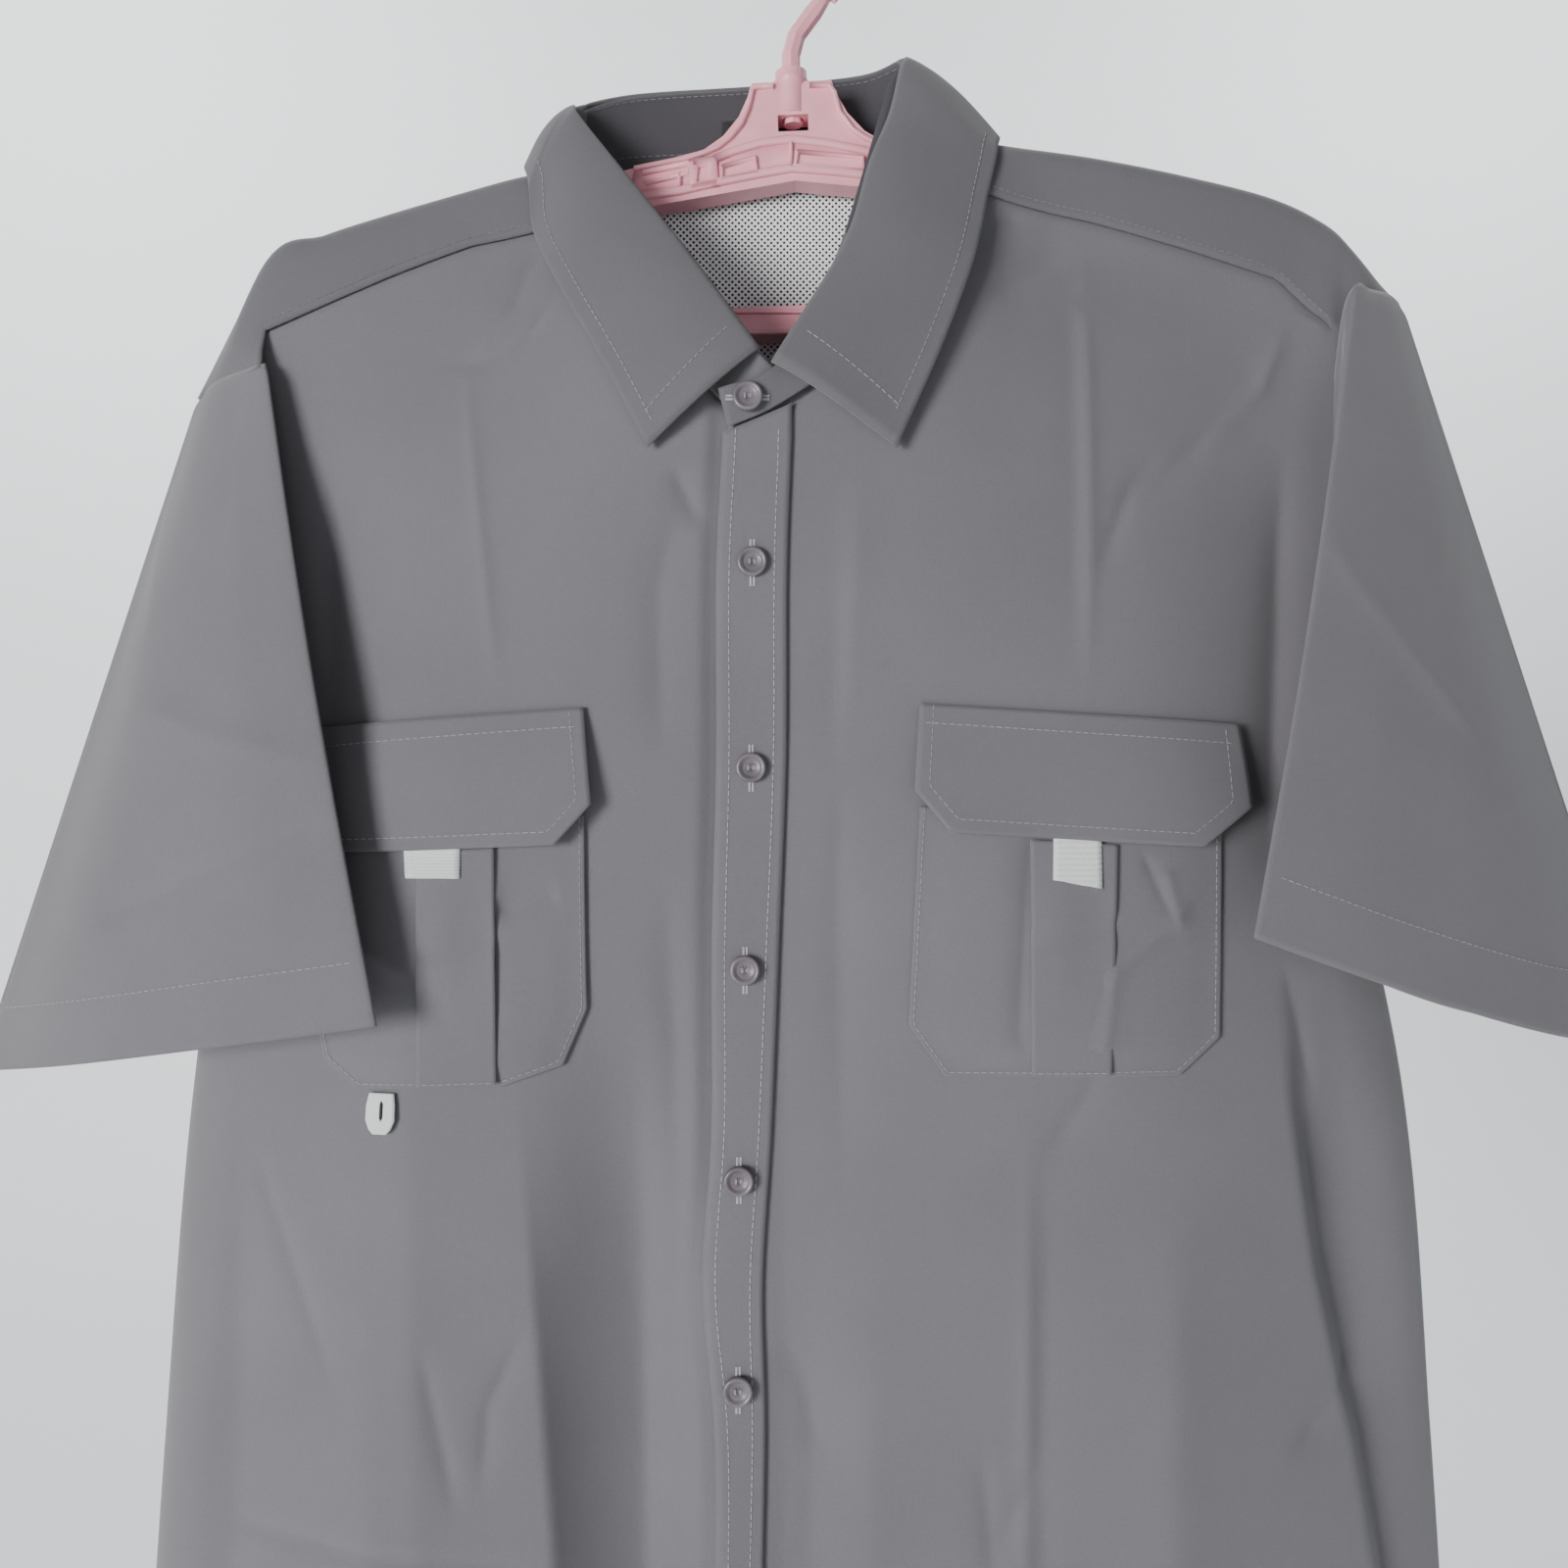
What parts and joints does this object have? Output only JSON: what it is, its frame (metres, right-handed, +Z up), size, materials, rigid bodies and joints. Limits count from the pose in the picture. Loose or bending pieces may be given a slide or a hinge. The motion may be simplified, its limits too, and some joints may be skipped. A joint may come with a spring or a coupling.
{
  "type": "hiking shirt on hanger",
  "caption": "Short-sleeved button-up shirt with flapped chest pockets and a mesh-lined yoke, hanging on a moulded hanger.",
  "frame": {"origin": "inner top of the hanger's hook, where the rail or wall hook carries it", "axes": "+Z up, the shirt's front faces -Y, the wearer's left is +X"},
  "size_m": [0.7149, 0.0998, 0.846],
  "materials": {
    "cloth": "matt mid-grey plain-weave quick-dry cloth",
    "mesh_lining": "white open mesh, small dark holes",
    "webbing": "pale ribbed webbing",
    "label": "bare black woven label",
    "buttons": "satin grey-mauve plastic",
    "hanger_plastic": "satin pink moulded plastic"
  },
  "bodies": {
    "root": {"front_left": "cloth", "front_right": "cloth", "placket": "cloth", "back": "cloth", "yoke": "cloth", "collar_stand": "cloth", "collar_leaf": "cloth", "sleeve_left": "cloth", "sleeve_right": "cloth", "pocket_left": "cloth", "pocket_right": "cloth", "pocket_strip_left": "cloth", "pocket_strip_right": "cloth", "flap_left": "cloth", "flap_right": "cloth", "yoke_lining": "mesh_lining", "pull_tab_left": "webbing", "pull_tab_right": "webbing", "utility_loop": "webbing", "neck_label": "label", "button_1": "buttons", "button_2": "buttons", "button_3": "buttons", "button_4": "buttons", "button_5": "buttons", "button_6": "buttons", "button_collar": "buttons", "hanger_frame": "hanger_plastic", "hanger_hook": "hanger_plastic"}
  },
  "joints": []
}
